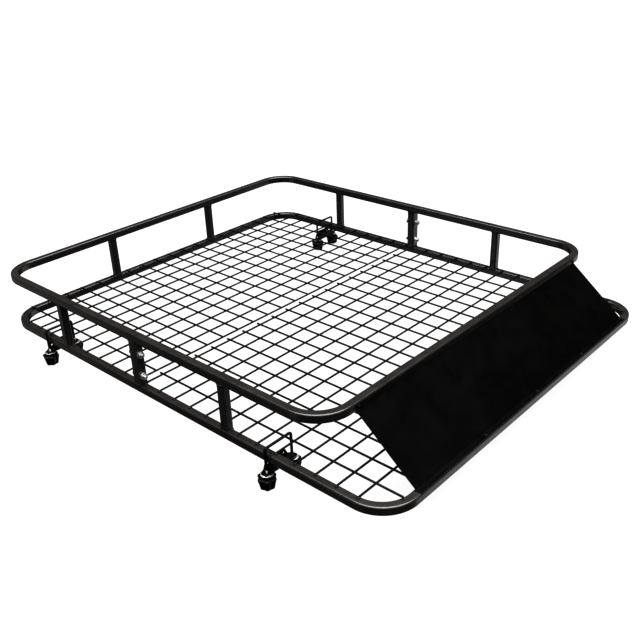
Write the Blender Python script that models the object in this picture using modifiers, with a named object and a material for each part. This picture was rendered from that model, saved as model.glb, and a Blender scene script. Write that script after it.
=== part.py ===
"""Roof cargo basket: two bolted halves of square tube with a welded wire floor, a front
fairing and four U-bolt clamps whose star knobs also carry the basket when it stands on a floor.

Metres, +X towards the vehicle's front, +Y towards its left side, +Z up.
The origin is under the middle of the basket, level with the bottoms of the knobs.
"""

import math

import bmesh
import bpy
from mathutils import Matrix, Vector

# Overall sizes
LENGTH = 1.238
WIDTH = 1.018
TUBE = 0.019
TUBE_EDGE = 0.0018
CORNER_RADIUS = 0.082
RAIL_HEIGHT = 0.145
FLOOR_HEIGHT = 0.075
TOP_RAIL_SETBACK = 0.147
GAP = 0.0003
BEND_STEPS = 10

# Where the two halves meet, and the posts
SEAM_X = -0.0628
SIDE_POST_X = (-0.351, 0.209)
REAR_POST_Y = 0.176
PLATE_THICKNESS = 0.005
JOINT_BOLT_Z = (0.095, 0.148)
RAIL_BELOW_FLOOR = 0.0025

# Welded wire floor
WIRE = 0.0032
WELD_SINK = 0.0006
PITCH = 0.050
LONG_WIRES_A_SIDE = 9
FRONT_CROSS_WIRES = 13
REAR_CROSS_WIRES = 10
FRONT_FIRST_X = -0.0589
REAR_FIRST_X = -0.0833
CROSS_WIRE_REACH = 0.4995
STUB = 0.006
FAIRING_CLEARANCE = 0.0025

# Fairing
SHEET = 0.0015
FAIRING_HALF_WIDTH = 0.4185
FAIRING_BEND_TOP_Z = 0.1845
FAIRING_LIP = 0.0100
FAIRING_FOOT = 0.0100
FAIRING_FOOT_EDGE = 0.0010
FAIRING_SCREW_Y = 0.200
FAIRING_CORNER_SCREW_Y = 0.410
STRUT = 0.012
STRUT_START = 0.0027
STRUT_END = 0.1678
FOOT_SCREW_OUTWARD = 0.0005

# Fasteners
BOLT_RADIUS = 0.004
BOLT_FLATS = 0.013
BOLT_HEAD = 0.0053
NUT_HEIGHT = 0.0065
BOLT_TIP = 0.003
JOINT_WASHER = 0.0016
JOINT_WASHER_RADIUS = 0.0085
SCREW_RADIUS = 0.002
SCREW_HEAD_RADIUS = 0.0036
SCREW_HEAD = 0.0022
SCREW_LENGTH = 0.0055
SCREW_HOLE_DEPTH = 0.0063
CLEARANCE = 0.0003

# Clamps
ROD_RADIUS = 0.003
LEG_SPACING = 0.070
LEG_LENGTH = 0.082
ROD_BEND = 0.0055
CLAMP_MIDDLE_Y = 0.478
CLAMP_HOLE_RADIUS = 0.0035
CHANNEL_LENGTH = 0.088
CHANNEL_WIDTH = 0.023
CHANNEL_HEIGHT = 0.0215
CHANNEL_SHEET = 0.0025
CHANNEL_SIDE_HOLE_RADIUS = 0.0025
CHANNEL_SIDE_HOLE_INSET = 0.022
CHANNEL_TAPER_START = 0.024
CHANNEL_TAPER_END = 0.033
CHANNEL_END_HEIGHT = 0.0045
CHANNEL_TONGUE_START = 0.031
CHANNEL_TONGUE_WIDTH = 0.011
CLAMP_WASHER_RADIUS = 0.013
CLAMP_WASHER = 0.0016
KNOB_TOP_RADIUS = 0.0185
KNOB_BOTTOM_RADIUS = 0.0142
KNOB_HEIGHT = 0.0245
KNOB_COLLAR_RADIUS = 0.0072
KNOB_LOBES = 6
KNOB_LOBE_DEPTH = 0.09
KNOB_FLOOR = 0.004
KNOB_DISH = 0.002
ROUND_STEPS = 12
KNOB_STEPS = 12
SIDE_HOLE_STEPS = 8

# side name, end name: side sign, place along the basket, height of the U-bolt's bar above the floor wires
CLAMPS = {
    "right_front": (-1, 0.329, 0.013),
    "right_rear": (-1, -0.4275, 0.014),
    "left_front": (1, 0.360, 0.0225),
    "left_rear": (1, -0.401, 0.014),
}

LOWER_RAIL_TOP = FLOOR_HEIGHT - RAIL_BELOW_FLOOR
LOWER_RAIL_Z = LOWER_RAIL_TOP - TUBE / 2
LOWER_RAIL_BOTTOM = LOWER_RAIL_TOP - TUBE
TOP_RAIL_Z = LOWER_RAIL_BOTTOM + RAIL_HEIGHT - TUBE / 2
TOP_RAIL_BOTTOM = TOP_RAIL_Z - TUBE / 2
RAIL_Y = (WIDTH - TUBE) / 2
RAIL_X = (LENGTH - TUBE) / 2
TOP_RAIL_FRONT_X = RAIL_X - TOP_RAIL_SETBACK
CROSS_WIRE_Z = LOWER_RAIL_TOP + GAP + WIRE / 2
LONG_WIRE_Z = CROSS_WIRE_Z + WIRE + GAP
POST_WIRE_REACH = RAIL_Y - TUBE / 2 - 2 * GAP
SIDES = {"right": -1, "left": 1}


def clear_scene():
    for obj in list(bpy.data.objects):
        bpy.data.objects.remove(obj, do_unlink=True)


def new_collection(name):
    made = bpy.data.collections.new(name)
    bpy.context.scene.collection.children.link(made)
    return made


def make_material(name, color, roughness, metallic):
    made = bpy.data.materials.new(name)
    made.use_nodes = True
    shader = made.node_tree.nodes["Principled BSDF"]
    shader.inputs["Base Color"].default_value = (*color, 1.0)
    shader.inputs["Roughness"].default_value = roughness
    shader.inputs["Metallic"].default_value = metallic
    return made


def add_object(name, mesh, material, collection, location=(0, 0, 0)):
    """A new object for this mesh, with this material, in this collection."""
    obj = bpy.data.objects.new(name, mesh)
    obj.location = location
    if material and not mesh.materials:
        mesh.materials.append(material)
    collection.objects.link(obj)
    return obj


def to_mesh(name, bm):
    """A mesh from this bmesh, which is freed. Its faces point out."""
    bmesh.ops.recalc_face_normals(bm, faces=bm.faces)
    mesh = bpy.data.meshes.new(name)
    bm.to_mesh(mesh)
    bm.free()
    return mesh


def smooth(mesh, degrees=40):
    mesh.shade_smooth()
    mesh.set_sharp_from_angle(angle=math.radians(degrees))


def add_block(bm, size, centre):
    """Adds a box of this size around this centre."""
    matrix = Matrix.Translation(centre) @ Matrix.Diagonal((*size, 1))
    bmesh.ops.create_cube(bm, size=1, matrix=matrix)


def add_cutter(name, bm, location):
    cutter = add_object(name, to_mesh(name, bm), None, CUTTERS, location)
    cutter.hide_render = True
    cutter.display_type = "WIRE"
    return cutter


def prism_cutter(name, outline, sweep, location):
    """A cutter with this outline of (x, y, z) points, extruded by sweep."""
    bm = bmesh.new()
    face = bm.faces.new([bm.verts.new(point) for point in outline])
    swept = bmesh.ops.extrude_face_region(bm, geom=[face])["geom"]
    moved = [item for item in swept if isinstance(item, bmesh.types.BMVert)]
    bmesh.ops.translate(bm, verts=moved, vec=sweep)
    return add_cutter(name, bm, location)


def cylinder_cutter(name, radius, length, location, axis="Z", steps=ROUND_STEPS):
    """A round cutter of this length, centred on this place."""
    bm = bmesh.new()
    bmesh.ops.create_cone(
        bm, cap_ends=True, segments=steps, radius1=radius, radius2=radius, depth=length
    )
    turn = {"X": Matrix.Rotation(math.pi / 2, 4, "Y"), "Z": Matrix.Identity(4)}[axis]
    bmesh.ops.transform(bm, matrix=turn, verts=bm.verts)
    return add_cutter(name, bm, location)


def cut(obj, cutter):
    boolean = obj.modifiers.new("cut_" + cutter.name, "BOOLEAN")
    boolean.operation = "DIFFERENCE"
    boolean.solver = "EXACT"
    boolean.object = cutter


def hexagon(angle):
    """The radius of a hexagon at this angle, as a share of its corners' radius."""
    third = math.pi / 3
    return math.cos(third / 2) / math.cos(angle % third - third / 2)


def lobes(angle):
    """The radius of a lobed knob at this angle, as a share of its mean radius."""
    return 1 + KNOB_LOBE_DEPTH * math.cos(KNOB_LOBES * angle)


def turned_mesh(name, profile, steps=ROUND_STEPS, outline=None, outline_beyond=0.0):
    """A solid turned about Z from (radius, z) points, given top to bottom on the outer side.

    Where outline is given, it reshapes every ring wider than outline_beyond.
    """
    bm = bmesh.new()
    points = [bm.verts.new((radius, 0, z)) for radius, z in profile]
    edges = [bm.edges.new(pair) for pair in zip(points, points[1:])]
    if profile[0][0] > 0:
        edges.append(bm.edges.new((points[-1], points[0])))
    bmesh.ops.spin(
        bm,
        geom=points + edges,
        axis=(0, 0, 1),
        cent=(0, 0, 0),
        angle=2 * math.pi,
        steps=steps,
        use_merge=True,
    )
    bmesh.ops.remove_doubles(bm, verts=bm.verts, dist=0.00001)
    if outline:
        for vert in bm.verts:
            if math.hypot(vert.co.x, vert.co.y) > outline_beyond:
                share = outline(math.atan2(vert.co.y, vert.co.x))
                vert.co.x *= share
                vert.co.y *= share
    mesh = to_mesh(name, bm)
    smooth(mesh)
    return mesh


def washer_mesh(name, radius, hole, thickness):
    profile = [(radius, thickness), (radius, 0), (hole, 0), (hole, thickness)]
    return turned_mesh(name, profile)


# Tubes


def add_square_profile():
    """The tube's outline, a square with chamfered edges, as a guide for the rails' curves."""
    curve = bpy.data.curves.new("square_profile", "CURVE")
    curve.dimensions = "2D"
    spline = curve.splines.new("POLY")
    half, flat = TUBE / 2, TUBE / 2 - TUBE_EDGE
    corners = [(half, -flat), (half, flat), (flat, half), (-flat, half)]
    corners += [(-x, -y) for x, y in corners]
    spline.points.add(len(corners) - 1)
    for point, (x, y) in zip(spline.points, corners):
        point.co = (x, y, 0, 1)
    spline.use_cyclic_u = True
    guide = bpy.data.objects.new("square_profile", curve)
    guide.hide_render = True
    guide.display_type = "WIRE"
    CUTTERS.objects.link(guide)
    return guide


def half_loop(end_x, seam_x):
    """The centre line of a U-shaped half rail: out along one side, across the end, and back."""
    toward = 1 if end_x > seam_x else -1
    radius = CORNER_RADIUS - TUBE / 2
    centre_x, centre_y = end_x - toward * radius, RAIL_Y - radius
    bend = [
        (
            centre_x + toward * radius * math.sin(step / BEND_STEPS * math.pi / 2),
            -centre_y - radius * math.cos(step / BEND_STEPS * math.pi / 2),
        )
        for step in range(BEND_STEPS + 1)
    ]
    one_side = [(seam_x, -RAIL_Y)] + bend
    return one_side + [(x, -y) for x, y in reversed(one_side)]


def add_rail(name, end_x, seam_x, height):
    """A bent square tube as a closed mesh, swept along its centre line."""
    curve = bpy.data.curves.new(name, "CURVE")
    curve.dimensions = "2D"
    curve.fill_mode = "BOTH"
    curve.bevel_mode = "OBJECT"
    curve.bevel_object = SQUARE_PROFILE
    curve.use_fill_caps = True
    spline = curve.splines.new("POLY")
    path = half_loop(end_x, seam_x)
    spline.points.add(len(path) - 1)
    for point, (x, y) in zip(spline.points, path):
        point.co = (x, y, 0, 1)
    swept = bpy.data.objects.new(name + "_path", curve)
    PARTS.objects.link(swept)
    bpy.context.view_layer.update()
    graph = bpy.context.evaluated_depsgraph_get()
    mesh = bpy.data.meshes.new_from_object(swept.evaluated_get(graph))
    bpy.data.objects.remove(swept, do_unlink=True)
    bm = bmesh.new()
    bm.from_mesh(mesh)
    bpy.data.meshes.remove(mesh)
    bmesh.ops.remove_doubles(bm, verts=bm.verts, dist=0.00001)
    mesh = to_mesh(name, bm)
    smooth(mesh, 30)
    return add_object(name, mesh, BLACK_STEEL, PARTS, (0, 0, height))


def add_tube(name, size, length, location, tilt=0.0):
    """A straight square tube along its own Z, centred on this place, turned by tilt about Y."""
    bm = bmesh.new()
    add_block(bm, (size, size, length), (0, 0, 0))
    long_edges = [e for e in bm.edges if abs(e.verts[0].co.z - e.verts[1].co.z) > length / 2]
    bmesh.ops.bevel(bm, geom=long_edges, offset=TUBE_EDGE, segments=1, affect="EDGES")
    tube = add_object(name, to_mesh(name, bm), BLACK_STEEL, PARTS, location)
    tube.rotation_euler = (0, tilt, 0)
    return tube


def add_post(name, x, y):
    """An upright tube between the lower and the top rail."""
    low, high = LOWER_RAIL_TOP + GAP, TOP_RAIL_BOTTOM - GAP
    return add_tube(name, TUBE, high - low, (x, y, (low + high) / 2))


def build_frame():
    add_rail("lower_rail_rear", -RAIL_X, SEAM_X - GAP / 2, LOWER_RAIL_Z)
    add_rail("top_rail_rear", -RAIL_X, SEAM_X - GAP / 2, TOP_RAIL_Z)
    lower_front = add_rail("lower_rail_front", RAIL_X, SEAM_X + GAP / 2, LOWER_RAIL_Z)
    top_front = add_rail("top_rail_front", TOP_RAIL_FRONT_X, SEAM_X + GAP / 2, TOP_RAIL_Z)
    for side, sign in SIDES.items():
        add_post(f"side_post_{side}_rear", SIDE_POST_X[0], sign * RAIL_Y)
        add_post(f"side_post_{side}_front", SIDE_POST_X[1], sign * RAIL_Y)
        add_post(f"rear_post_{side}", -RAIL_X, sign * REAR_POST_Y)
    return lower_front, top_front


# Joints between the two halves


def joint_bolt_mesh():
    """A hexagon bolt along Z, with its head's seat at z = 0 and its shank upwards."""
    grip = TUBE + PLATE_THICKNESS + JOINT_WASHER + NUT_HEIGHT + 5 * GAP
    tip = grip + BOLT_TIP
    corner = BOLT_FLATS / 2 / hexagon(math.pi / 6)
    profile = [(0, tip), (BOLT_RADIUS, tip), (BOLT_RADIUS, 0)]
    profile += [(corner, 0), (corner, -BOLT_HEAD), (0, -BOLT_HEAD)]
    return turned_mesh("joint_bolt", profile, ROUND_STEPS, hexagon, BOLT_RADIUS * 1.1)


def joint_nut_mesh():
    corner = BOLT_FLATS / 2 / hexagon(math.pi / 6)
    hole = BOLT_RADIUS + CLEARANCE
    profile = [(corner, NUT_HEIGHT), (corner, 0), (hole, 0), (hole, NUT_HEIGHT)]
    return turned_mesh("joint_nut", profile, ROUND_STEPS, hexagon, hole * 1.1)


def build_joints():
    """A tube on the rear half and a plate on the front half, held together by two bolts a side."""
    bolt, nut = joint_bolt_mesh(), joint_nut_mesh()
    washer = washer_mesh("joint_washer", JOINT_WASHER_RADIUS, BOLT_RADIUS + CLEARANCE, JOINT_WASHER)
    post_x = SEAM_X - GAP / 2 - TUBE / 2
    plate_x = SEAM_X + GAP / 2 + PLATE_THICKNESS / 2
    head_x = post_x - TUBE / 2 - GAP
    washer_x = plate_x + PLATE_THICKNESS / 2 + GAP
    low, high = LOWER_RAIL_TOP + GAP, TOP_RAIL_BOTTOM - GAP
    for side, sign in SIDES.items():
        y = sign * RAIL_Y
        post = add_post(f"joint_post_{side}", post_x, y)
        bm = bmesh.new()
        add_block(bm, (PLATE_THICKNESS, TUBE, high - low), (0, 0, 0))
        mesh = to_mesh(f"joint_plate_{side}", bm)
        place = (plate_x, y, (low + high) / 2)
        plate = add_object(f"joint_plate_{side}", mesh, BLACK_STEEL, PARTS, place)
        for level, z in zip(("lower", "upper"), JOINT_BOLT_Z):
            tag = f"{side}_{level}"
            hole = cylinder_cutter(
                f"joint_hole_{tag}", BOLT_RADIUS + CLEARANCE, 3 * TUBE, (post_x, y, z), "X"
            )
            cut(post, hole)
            cut(plate, hole)
            for name, mesh, x in (
                ("joint_bolt_", bolt, head_x),
                ("joint_washer_", washer, washer_x),
                ("joint_nut_", nut, washer_x + JOINT_WASHER + GAP),
            ):
                piece = add_object(name + tag, mesh, ZINC, PARTS, (x, y, z))
                piece.rotation_euler = (0, math.pi / 2, 0)


# Welded wire floor


def add_wire_panel(name, cross_places, long_start, long_end):
    """Lengthwise wires laid over cross wires, as one closed body of square bars.

    The outer two wires each way sink into the other layer and join all the wires. Inside
    that border the two layers keep a gap. long_end gives where the lengthwise wire at this
    y ends. The cross wire beside the joint stops at its post, and the others lie on the rails.
    """
    bm = bmesh.new()
    for number in range(-LONG_WIRES_A_SIDE, LONG_WIRES_A_SIDE + 1):
        y = number * PITCH
        end = long_end(y)
        z = LONG_WIRE_Z - (WELD_SINK if abs(number) == LONG_WIRES_A_SIDE else 0)
        add_block(bm, (end - long_start, WIRE, WIRE), ((long_start + end) / 2, y, z))
    panel = add_object(name, to_mesh(name, bm), BLACK_WIRE, PARTS)
    bm = bmesh.new()
    for x in cross_places:
        reach = POST_WIRE_REACH if x == cross_places[0] else CROSS_WIRE_REACH
        z = CROSS_WIRE_Z + (WELD_SINK if x in (cross_places[0], cross_places[-1]) else 0)
        add_block(bm, (WIRE, 2 * reach, WIRE), (x, 0, z))
    wires = add_object(name + "_cross_wires", to_mesh(name + "_cross_wires", bm), None, CUTTERS)
    wires.hide_render = True
    wires.display_type = "WIRE"
    boolean = panel.modifiers.new("weld_cross_wires", "BOOLEAN")
    boolean.operation = "UNION"
    boolean.solver = "EXACT"
    boolean.object = wires


def build_floor():
    front = [FRONT_FIRST_X + n * PITCH for n in range(FRONT_CROSS_WIRES)]
    rear = [REAR_FIRST_X - n * PITCH for n in range(REAR_CROSS_WIRES)]
    fairing_clear_x = RAIL_X - TUBE / 2 - FAIRING_CLEARANCE
    on_rail_x = RAIL_X - TUBE / 3

    def front_end(y):
        return fairing_clear_x if abs(y) < FAIRING_HALF_WIDTH else on_rail_x

    add_wire_panel("mesh_panel_front", front, FRONT_FIRST_X - STUB, front_end)
    rear_end = REAR_FIRST_X + WIRE / 2
    add_wire_panel("mesh_panel_rear", rear, -RAIL_X, lambda y: rear_end)


# Fairing


def fairing_profile():
    """The sheet's outer face, as (x, z) points from its top lip to its foot."""
    lip_x = TOP_RAIL_FRONT_X + TUBE / 2 + GAP + SHEET
    foot_x = RAIL_X + TUBE / 2 - FAIRING_FOOT_EDGE
    foot_z = LOWER_RAIL_TOP + GAP + SHEET
    return [
        Vector((lip_x, 0, FAIRING_BEND_TOP_Z + FAIRING_LIP)),
        Vector((lip_x, 0, FAIRING_BEND_TOP_Z)),
        Vector((foot_x - FAIRING_FOOT, 0, foot_z)),
        Vector((foot_x, 0, foot_z)),
    ]


def build_fairing(lower_front, top_front):
    """The sloping sheet, the two struts behind it and the five screws that hold it."""
    profile = fairing_profile()
    bm = bmesh.new()
    points = [bm.verts.new(p - Vector((0, FAIRING_HALF_WIDTH, 0))) for p in profile]
    edges = [bm.edges.new(pair) for pair in zip(points, points[1:])]
    swept = bmesh.ops.extrude_edge_only(bm, edges=edges)["geom"]
    moved = [item for item in swept if isinstance(item, bmesh.types.BMVert)]
    bmesh.ops.translate(bm, verts=moved, vec=(0, 2 * FAIRING_HALF_WIDTH, 0))
    for face in bm.faces:
        if face.normal.x + face.normal.z < 0:
            face.normal_flip()
    mesh = bpy.data.meshes.new("fairing")
    bm.to_mesh(mesh)
    bm.free()
    fairing = add_object("fairing", mesh, BLACK_SHEET, PARTS)
    thicken = fairing.modifiers.new("sheet", "SOLIDIFY")
    thicken.thickness = SHEET
    thicken.offset = -1
    thicken.use_even_offset = True

    screw = turned_mesh(
        "fairing_screw",
        [
            (0, SCREW_HEAD),
            (SCREW_HEAD_RADIUS * 0.6, SCREW_HEAD * 0.9),
            (SCREW_HEAD_RADIUS, SCREW_HEAD * 0.4),
            (SCREW_HEAD_RADIUS, 0),
            (SCREW_RADIUS, 0),
            (SCREW_RADIUS, -SCREW_LENGTH),
            (0, -SCREW_LENGTH),
        ],
    )
    foot_x = (profile[2].x + profile[3].x) / 2 + FOOT_SCREW_OUTWARD
    foot_z = profile[3].z
    lip_x, lip_z = profile[0].x, (profile[0].z + profile[1].z) / 2
    places = {
        "foot_right": ((foot_x, -FAIRING_SCREW_Y, foot_z), "Z"),
        "foot_middle": ((foot_x, 0, foot_z), "Z"),
        "foot_left": ((foot_x, FAIRING_SCREW_Y, foot_z), "Z"),
        "corner_right": ((lip_x, -FAIRING_CORNER_SCREW_Y, lip_z), "X"),
        "corner_left": ((lip_x, FAIRING_CORNER_SCREW_Y, lip_z), "X"),
    }
    for tag, (place, axis) in places.items():
        seat = Vector(place) + GAP * Vector((axis == "X", 0, axis == "Z"))
        piece = add_object(f"fairing_screw_{tag}", screw, BLACK_STEEL, PARTS, seat)
        piece.rotation_euler = (0, math.pi / 2 if axis == "X" else 0, 0)
        hole = cylinder_cutter(
            f"screw_hole_{tag}", SCREW_RADIUS + CLEARANCE, 2 * SCREW_HOLE_DEPTH, place, axis
        )
        cut(fairing, hole)
        cut(top_front if axis == "X" else lower_front, hole)

    slope = (profile[2] - profile[1]).normalized()
    inward = Vector((slope.z, 0, -slope.x))
    middle = inward * (SHEET + GAP + STRUT / 2)
    start = profile[1] + slope * STRUT_START + middle
    end = profile[1] + slope * STRUT_END + middle
    tilt = math.atan2(slope.x, slope.z)
    for side, sign in SIDES.items():
        centre = (start + end) / 2 + Vector((0, sign * REAR_POST_Y, 0))
        add_tube(f"fairing_strut_{side}", STRUT, (end - start).length, centre, tilt)


# Clamps


def u_bolt_curve():
    """A square-bent rod in the Y-Z plane, with the middle of its bar at the origin."""
    half = LEG_SPACING / 2
    steps = 4
    bend = [
        (
            half - ROD_BEND + ROD_BEND * math.sin(step / steps * math.pi / 2),
            -ROD_BEND + ROD_BEND * math.cos(step / steps * math.pi / 2),
        )
        for step in range(steps + 1)
    ]
    one_side = bend + [(half, -LEG_LENGTH)]
    path = [(-y, z) for y, z in reversed(one_side)] + one_side
    curve = bpy.data.curves.new("u_bolt", "CURVE")
    curve.dimensions = "3D"
    curve.bevel_depth = ROD_RADIUS
    curve.bevel_resolution = 2
    curve.use_fill_caps = True
    spline = curve.splines.new("POLY")
    spline.points.add(len(path) - 1)
    for point, (y, z) in zip(spline.points, path):
        point.co = (0, y, z, 1)
    spline.use_smooth = True
    curve.materials.append(BLACK_ROD)
    return curve


def taper_outline(sign):
    """What is cut off above the flanges' sloping ends, seen from the side."""
    slant = (CHANNEL_TAPER_END - CHANNEL_TAPER_START) / (CHANNEL_HEIGHT - CHANNEL_END_HEIGHT)
    top, beyond = 2 * CHANNEL_HEIGHT, CHANNEL_LENGTH
    start = CHANNEL_TAPER_START - slant * (top - CHANNEL_HEIGHT)
    corners = [(start, top), (CHANNEL_TAPER_END, CHANNEL_END_HEIGHT)]
    corners += [(beyond, CHANNEL_END_HEIGHT), (beyond, top)]
    return [(-CHANNEL_WIDTH, sign * y, z) for y, z in corners]


def tongue_outline(side, sign):
    """What is cut off beside the tongue that an end narrows to, seen from above."""
    end, half_tongue = CHANNEL_LENGTH / 2, CHANNEL_TONGUE_WIDTH / 2
    slant = (CHANNEL_WIDTH / 2 - half_tongue) / (end - CHANNEL_TONGUE_START)
    inner, outer, beyond = half_tongue - slant * end, CHANNEL_WIDTH, 2 * end
    corners = [(inner, beyond), (outer, beyond), (outer, end - (outer - half_tongue) / slant)]
    return [(side * x, sign * y, -CHANNEL_HEIGHT) for x, y in corners]


def add_channel(name, location):
    """A pressed channel under the rail, flanges up, with a hole for each leg of the U-bolt.

    Its flanges slope down to the web before each leg, and the web ends in a narrower tongue.
    """
    half = (CHANNEL_WIDTH - CHANNEL_SHEET) / 2
    rise = CHANNEL_HEIGHT - CHANNEL_SHEET / 2
    profile = [(-half, rise), (-half, 0), (half, 0), (half, rise)]
    bm = bmesh.new()
    points = [bm.verts.new((x, -CHANNEL_LENGTH / 2, z)) for x, z in profile]
    edges = [bm.edges.new(pair) for pair in zip(points, points[1:])]
    swept = bmesh.ops.extrude_edge_only(bm, edges=edges)["geom"]
    moved = [item for item in swept if isinstance(item, bmesh.types.BMVert)]
    bmesh.ops.translate(bm, verts=moved, vec=(0, CHANNEL_LENGTH, 0))
    bmesh.ops.recalc_face_normals(bm, faces=bm.faces)
    mesh = bpy.data.meshes.new(name)
    bm.to_mesh(mesh)
    bm.free()
    x, y, bottom = location
    web_z = bottom + CHANNEL_SHEET / 2
    channel = add_object(name, mesh, BLACK_SHEET, PARTS, (x, y, web_z))
    thicken = channel.modifiers.new("sheet", "SOLIDIFY")
    thicken.thickness = CHANNEL_SHEET
    thicken.offset = 0
    thicken.use_even_offset = True
    for sign in (-1, 1):
        leg = (x, y + sign * LEG_SPACING / 2, web_z)
        leg_hole = f"{name}_leg_hole_{sign}"
        cut(channel, cylinder_cutter(leg_hole, CLAMP_HOLE_RADIUS, 4 * CHANNEL_SHEET, leg))
        hole_y = y + sign * (CHANNEL_LENGTH / 2 - CHANNEL_SIDE_HOLE_INSET)
        hole_place = (x, hole_y, bottom + CHANNEL_HEIGHT / 2)
        side_hole = f"{name}_side_hole_{sign}"
        radius, length = CHANNEL_SIDE_HOLE_RADIUS, 2 * CHANNEL_WIDTH
        cut(channel, cylinder_cutter(side_hole, radius, length, hole_place, "X", SIDE_HOLE_STEPS))
        across, upright = (2 * CHANNEL_WIDTH, 0, 0), (0, 0, 2 * CHANNEL_HEIGHT)
        cut(channel, prism_cutter(f"{name}_taper_{sign}", taper_outline(sign), across, location))
        for side in (-1, 1):
            beside = f"{name}_tongue_{side}_{sign}"
            cut(channel, prism_cutter(beside, tongue_outline(side, sign), upright, location))


def knob_mesh():
    """A lobed knob with a threaded collar and a blind hole, standing on z = 0."""
    collar_top = LOWER_RAIL_BOTTOM - CHANNEL_HEIGHT - CLAMP_WASHER - 3 * GAP
    profile = [
        (CLAMP_HOLE_RADIUS, collar_top),
        (KNOB_COLLAR_RADIUS, collar_top),
        (KNOB_COLLAR_RADIUS, KNOB_HEIGHT - KNOB_DISH),
        (KNOB_TOP_RADIUS, KNOB_HEIGHT),
        (KNOB_BOTTOM_RADIUS, 0),
        (0, 0),
    ]
    bore = [(0, KNOB_FLOOR), (CLAMP_HOLE_RADIUS, KNOB_FLOOR)]
    return turned_mesh("knob", bore + profile, KNOB_STEPS, lobes, KNOB_COLLAR_RADIUS * 1.2)


def build_clamps():
    """Each clamp: a U-bolt over the lower rail, a channel under it, and a washer and knob a leg."""
    u_bolt = u_bolt_curve()
    knob = knob_mesh()
    washer = washer_mesh("clamp_washer", CLAMP_WASHER_RADIUS, CLAMP_HOLE_RADIUS, CLAMP_WASHER)
    channel_bottom = LOWER_RAIL_BOTTOM - GAP - CHANNEL_HEIGHT
    washer_bottom = channel_bottom - GAP - CLAMP_WASHER
    for place, (sign, x, bar_height) in CLAMPS.items():
        middle_y = sign * CLAMP_MIDDLE_Y
        rod = bpy.data.objects.new(f"u_bolt_{place}", u_bolt)
        rod.location = (x, middle_y, FLOOR_HEIGHT + bar_height)
        PARTS.objects.link(rod)
        add_channel(f"clamp_channel_{place}", (x, middle_y, channel_bottom))
        for leg, offset in (("outer", sign * LEG_SPACING / 2), ("inner", -sign * LEG_SPACING / 2)):
            y = middle_y + offset
            add_object(f"clamp_washer_{place}_{leg}", washer, ZINC, PARTS, (x, y, washer_bottom))
            add_object(f"knob_{place}_{leg}", knob, BLACK_PLASTIC, PARTS, (x, y, 0))


clear_scene()
PARTS = new_collection("roof_cargo_basket")
CUTTERS = new_collection("cutters_and_guides")
BLACK_STEEL = make_material("black_steel", (0.018, 0.017, 0.016), 0.42, 0.0)
BLACK_WIRE = make_material("black_wire", (0.012, 0.012, 0.012), 0.35, 0.0)
BLACK_SHEET = make_material("black_sheet", (0.012, 0.012, 0.012), 0.38, 0.0)
BLACK_ROD = make_material("black_rod", (0.012, 0.012, 0.012), 0.35, 0.2)
BLACK_PLASTIC = make_material("black_plastic", (0.012, 0.012, 0.013), 0.45, 0.0)
ZINC = make_material("zinc", (0.62, 0.62, 0.60), 0.3, 1.0)
SQUARE_PROFILE = add_square_profile()

lower_rail_front, top_rail_front = build_frame()
build_joints()
build_floor()
build_fairing(lower_rail_front, top_rail_front)
build_clamps()
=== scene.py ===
"""Looks of a roof cargo basket: powder-coated square tube, a welded wire floor, a sheet fairing,
zinc-plated fasteners and four U-bolt clamps with lobed knobs.

Metres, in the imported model's frame: +X is the vehicle's front, +Y its left, +Z up.
"""

import math
import random

import bmesh
import bpy
from mathutils import Matrix, Vector


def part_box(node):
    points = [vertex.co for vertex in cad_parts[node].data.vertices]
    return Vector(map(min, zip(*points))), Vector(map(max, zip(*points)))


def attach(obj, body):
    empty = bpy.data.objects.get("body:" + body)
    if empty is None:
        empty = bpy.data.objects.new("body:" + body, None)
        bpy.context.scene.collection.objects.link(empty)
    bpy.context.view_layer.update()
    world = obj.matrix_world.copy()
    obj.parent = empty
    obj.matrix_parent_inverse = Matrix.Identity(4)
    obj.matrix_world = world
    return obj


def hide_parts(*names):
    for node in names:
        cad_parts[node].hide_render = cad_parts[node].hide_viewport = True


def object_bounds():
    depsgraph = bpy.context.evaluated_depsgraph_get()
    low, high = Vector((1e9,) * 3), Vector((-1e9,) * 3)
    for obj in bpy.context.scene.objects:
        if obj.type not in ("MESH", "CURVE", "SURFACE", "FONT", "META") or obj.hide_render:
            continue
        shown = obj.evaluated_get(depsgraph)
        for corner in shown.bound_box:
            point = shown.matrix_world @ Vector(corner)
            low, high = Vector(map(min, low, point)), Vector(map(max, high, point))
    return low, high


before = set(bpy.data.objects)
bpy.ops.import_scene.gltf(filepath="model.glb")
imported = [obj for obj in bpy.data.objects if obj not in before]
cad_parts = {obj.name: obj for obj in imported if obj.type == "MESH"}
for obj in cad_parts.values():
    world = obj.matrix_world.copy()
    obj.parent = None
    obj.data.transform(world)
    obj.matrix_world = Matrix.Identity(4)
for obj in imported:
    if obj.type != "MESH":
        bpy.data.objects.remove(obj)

for startup in ("Cube", "Light", "Camera"):
    if startup in bpy.data.objects:
        bpy.data.objects.remove(bpy.data.objects[startup])

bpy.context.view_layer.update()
rail_low, rail_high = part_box("lower_rail_front")

# Camera, as seen from the basket's front right and above
CAMERA_TARGET = Vector((0.0414, -0.0377, 0.075))
CAMERA_AZIMUTH = math.radians(42.846)
CAMERA_ELEVATION = math.radians(27.116)
CAMERA_ROLL = math.radians(-2.234)
CAMERA_DISTANCE = 1.9945
CAMERA_LENS = 45.39
CAMERA_SENSOR = 36.0
CAMERA_NEAR = 0.05
CAMERA_FAR = 100.0

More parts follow.
